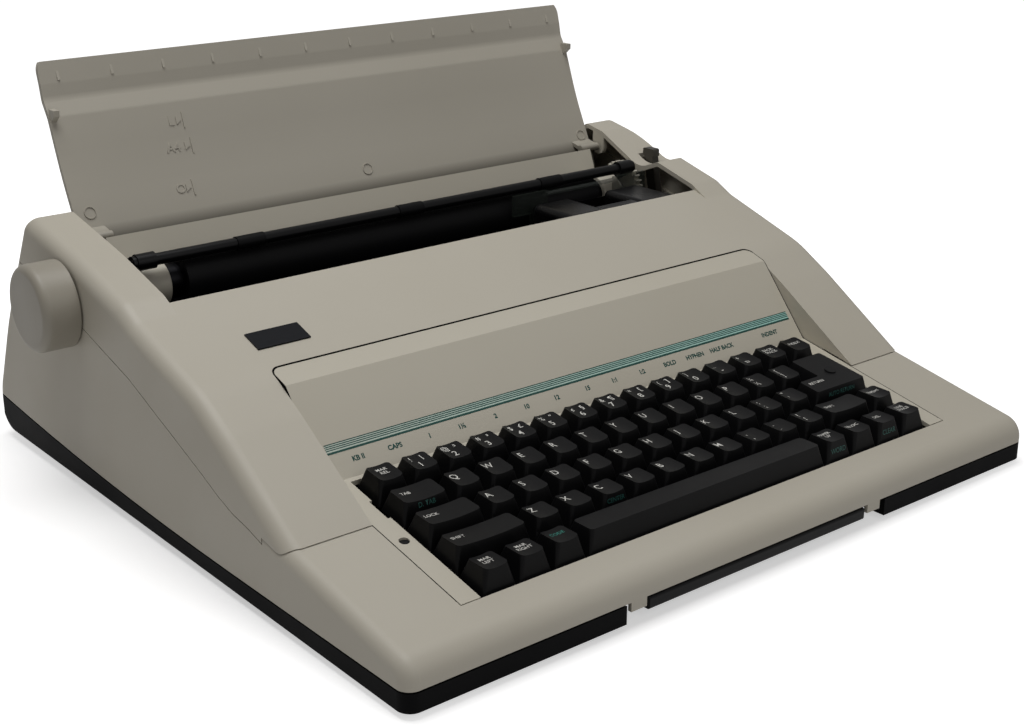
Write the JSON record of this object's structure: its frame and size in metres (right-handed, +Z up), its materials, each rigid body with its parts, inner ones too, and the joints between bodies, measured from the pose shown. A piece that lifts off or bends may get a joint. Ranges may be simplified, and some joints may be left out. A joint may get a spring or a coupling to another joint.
{
  "type": "electronic typewriter",
  "caption": "Portable electronic typewriter: wedge-shaped grey case, black keys, hinged lid standing open over platen and print carriage, side knob and pull-out handle.",
  "frame": {"origin": "bottom centre of the whole machine, on the table under its rubber feet", "axes": "+X to the typist's right, +Y to the rear, +Z up"},
  "size_m": [0.413, 0.373, 0.202],
  "materials": {
    "cover_grey": "fine-textured warm light grey ABS",
    "panel_grey": "fine-textured light grey ABS, slightly smoother",
    "base_black": "fine-textured near-black ABS",
    "key_black": "satin near-black keys",
    "knob_grey": "satin light grey plastic",
    "badge_dark": "smooth dark plate",
    "frame_steel": "zinc-plated sheet steel",
    "bright_steel": "ground bright steel",
    "bail_black": "black-finished steel",
    "platen_black": "ground hard black rubber",
    "core_aluminium": "turned aluminium",
    "gear_white": "natural acetal",
    "motor_steel": "dark zinc-plated motor case",
    "belt_black": "black toothed-belt rubber",
    "carriage_black": "glass-filled black nylon",
    "cassette_grey": "smooth dark plastic",
    "card_clear": "clear smoked plastic",
    "board_green": "green solder-masked board",
    "iron_dark": "varnished laminated iron",
    "rubber_foot": "matt rubber",
    "fitting_black": "black moulded plastic",
    "guide_plastic": "black acetal"
  },
  "bodies": {
    "machine": {"badge_plate": "badge_dark", "belt_brackets": "frame_steel", "bottom_case": "base_black", "bottom_letter_keys": "key_black", "case_screws": "bright_steel", "drive_belt": "belt_black", "edit_keys": "key_black", "guide_rails": "bright_steel", "home_letter_keys": "key_black", "key_frame": "guide_plastic", "keyboard_board": "board_green", "keyboard_panel": "panel_grey", "lid_hinge_pins": "bright_steel", "lower_cover": "cover_grey", "main_board": "board_green", "mains_fittings": "fitting_black", "number_keys": "key_black", "paper_pan": "frame_steel", "paper_table": "panel_grey", "platen_bushes": "gear_white", "rubber_feet": "rubber_foot", "side_frame_left": "frame_steel", "side_frame_right": "frame_steel", "stepper_motors": "motor_steel", "top_letter_keys": "key_black", "transformer": "iron_dark", "upper_cover": "cover_grey"},
    "lid": {"paper_lid": "cover_grey"},
    "platen": {"platen_core": "core_aluminium", "platen_rubber": "platen_black", "platen_shaft": "bright_steel", "platen_end_caps": "panel_grey", "platen_knob": "knob_grey", "platen_gear": "gear_white"},
    "pinion": {"feed_pinion": "gear_white"},
    "feed_roll": {"feed_rollers": "platen_black"},
    "bail": {"bail_bar": "bail_black"},
    "bail_wheels": {"bail_rollers": "platen_black"},
    "lever": {"release_lever": "cover_grey"},
    "carriage": {"carriage_frame": "carriage_black", "card_holder": "card_clear", "wheel_motor": "motor_steel", "print_hammer": "motor_steel"},
    "daisy_wheel": {"type_wheel": "carriage_black"},
    "cassette": {"ribbon_cassette": "cassette_grey"},
    "motor_pulley": {"drive_pulley": "gear_white"},
    "end_pulley": {"idler_pulley": "gear_white"},
    "rocker": {"switch_rocker": "fitting_black"},
    "handle": {"carry_handle": "base_black"},
    "space_press": {"space_bar": "key_black"},
    "return_press": {"return_key": "key_black"},
    "left_shift_press": {"left_shift_key": "key_black"},
    "right_shift_press": {"right_shift_key": "key_black"},
    "lock_press": {"lock_key": "key_black"},
    "tab_press": {"tab_key": "key_black"},
    "code_press": {"code_key": "key_black"},
    "backspace_press": {"backspace_key": "key_black"},
    "margin_release_press": {"margin_release_key": "key_black"},
    "margin_left_press": {"margin_left_key": "key_black"},
    "margin_right_press": {"margin_right_key": "key_black"}
  },
  "joints": [
    {"name": "lid_hinge", "type": "hinge", "parent": "machine", "child": "lid", "pos_m": [0.0095, 0.1175, 0.1193], "axis": [1, 0, 0], "range_deg": [0, 124.2]},
    {"name": "platen_spin", "type": "hinge", "parent": "machine", "child": "platen", "pos_m": [0.0095, 0.0915, 0.098], "axis": [1, 0, 0], "continuous": true},
    {"name": "pinion_spin", "type": "hinge", "parent": "machine", "child": "pinion", "pos_m": [0.178, 0.10268, 0.07864], "axis": [1, 0, 0], "continuous": true},
    {"name": "feed_roll_spin", "type": "hinge", "parent": "machine", "child": "feed_roll", "pos_m": [0.0095, 0.0952, 0.07702], "axis": [1, 0, 0], "continuous": true},
    {"name": "bail_hinge", "type": "hinge", "parent": "machine", "child": "bail", "pos_m": [0.0095, 0.1055, 0.1], "axis": [1, 0, 0], "range_deg": [-35, 0]},
    {"name": "bail_wheel_spin", "type": "hinge", "parent": "bail", "child": "bail_wheels", "pos_m": [0.0095, 0.0803, 0.114], "axis": [1, 0, 0], "continuous": true},
    {"name": "lever_hinge", "type": "hinge", "parent": "machine", "child": "lever", "pos_m": [0.194, 0.0755, 0.08], "axis": [1, 0, 0], "range_deg": [0, 12]},
    {"name": "carriage_slide", "type": "slide", "parent": "machine", "child": "carriage", "axis": [1, 0, 0], "range_m": [-0.236, 0]},
    {"name": "daisy_wheel_spin", "type": "hinge", "parent": "carriage", "child": "daisy_wheel", "pos_m": [0.1275, 0.07, 0.066], "axis": [0, 1, 0], "continuous": true},
    {"name": "cassette_lift", "type": "slide", "parent": "carriage", "child": "cassette", "axis": [0, 0, -1], "range_m": [-0.06, 0]},
    {"name": "motor_pulley_spin", "type": "hinge", "parent": "machine", "child": "motor_pulley", "pos_m": [-0.1255, 0.0185, 0.06], "axis": [0, 1, 0], "continuous": true},
    {"name": "end_pulley_spin", "type": "hinge", "parent": "machine", "child": "end_pulley", "pos_m": [0.1515, 0.0185, 0.06], "axis": [0, 1, 0], "continuous": true},
    {"name": "rocker_hinge", "type": "hinge", "parent": "machine", "child": "rocker", "pos_m": [0.198, 0.1095, 0.048], "axis": [0, 1, 0], "range_deg": [0, 16]},
    {"name": "handle_slide", "type": "slide", "parent": "machine", "child": "handle", "axis": [0, -1, 0], "range_m": [0, 0.025]},
    {"name": "space_bar_travel", "type": "slide", "parent": "machine", "child": "space_press", "axis": [0, 0.1977, -0.9803], "range_m": [0, 0.004], "stiffness_N_per_m": 200, "springref_m": -0.002},
    {"name": "return_key_travel", "type": "slide", "parent": "machine", "child": "return_press", "axis": [0, 0.1977, -0.9803], "range_m": [0, 0.004], "stiffness_N_per_m": 120, "springref_m": -0.002},
    {"name": "left_shift_key_travel", "type": "slide", "parent": "machine", "child": "left_shift_press", "axis": [0, 0.1977, -0.9803], "range_m": [0, 0.004], "stiffness_N_per_m": 120, "springref_m": -0.002},
    {"name": "right_shift_key_travel", "type": "slide", "parent": "machine", "child": "right_shift_press", "axis": [0, 0.1977, -0.9803], "range_m": [0, 0.004], "stiffness_N_per_m": 120, "springref_m": -0.002},
    {"name": "lock_key_travel", "type": "slide", "parent": "machine", "child": "lock_press", "axis": [0, 0.1977, -0.9803], "range_m": [0, 0.004], "stiffness_N_per_m": 120, "springref_m": -0.002},
    {"name": "tab_key_travel", "type": "slide", "parent": "machine", "child": "tab_press", "axis": [0, 0.1977, -0.9803], "range_m": [0, 0.004], "stiffness_N_per_m": 120, "springref_m": -0.002},
    {"name": "code_key_travel", "type": "slide", "parent": "machine", "child": "code_press", "axis": [0, 0.1977, -0.9803], "range_m": [0, 0.004], "stiffness_N_per_m": 120, "springref_m": -0.002},
    {"name": "backspace_key_travel", "type": "slide", "parent": "machine", "child": "backspace_press", "axis": [0, 0.1977, -0.9803], "range_m": [0, 0.004], "stiffness_N_per_m": 120, "springref_m": -0.002},
    {"name": "margin_release_key_travel", "type": "slide", "parent": "machine", "child": "margin_release_press", "axis": [0, 0.1977, -0.9803], "range_m": [0, 0.004], "stiffness_N_per_m": 120, "springref_m": -0.002},
    {"name": "margin_left_key_travel", "type": "slide", "parent": "machine", "child": "margin_left_press", "axis": [0, 0.1977, -0.9803], "range_m": [0, 0.004], "stiffness_N_per_m": 120, "springref_m": -0.002},
    {"name": "margin_right_key_travel", "type": "slide", "parent": "machine", "child": "margin_right_press", "axis": [0, 0.1977, -0.9803], "range_m": [0, 0.004], "stiffness_N_per_m": 120, "springref_m": -0.002}
  ],
  "couplings": [
    {"joint": "pinion_spin", "follows": "platen_spin", "ratio": -2.6667},
    {"joint": "feed_roll_spin", "follows": "platen_spin", "ratio": -2.5},
    {"joint": "motor_pulley_spin", "follows": "carriage_slide", "rad_per_m": 117.65},
    {"joint": "end_pulley_spin", "follows": "carriage_slide", "rad_per_m": 117.65}
  ]
}
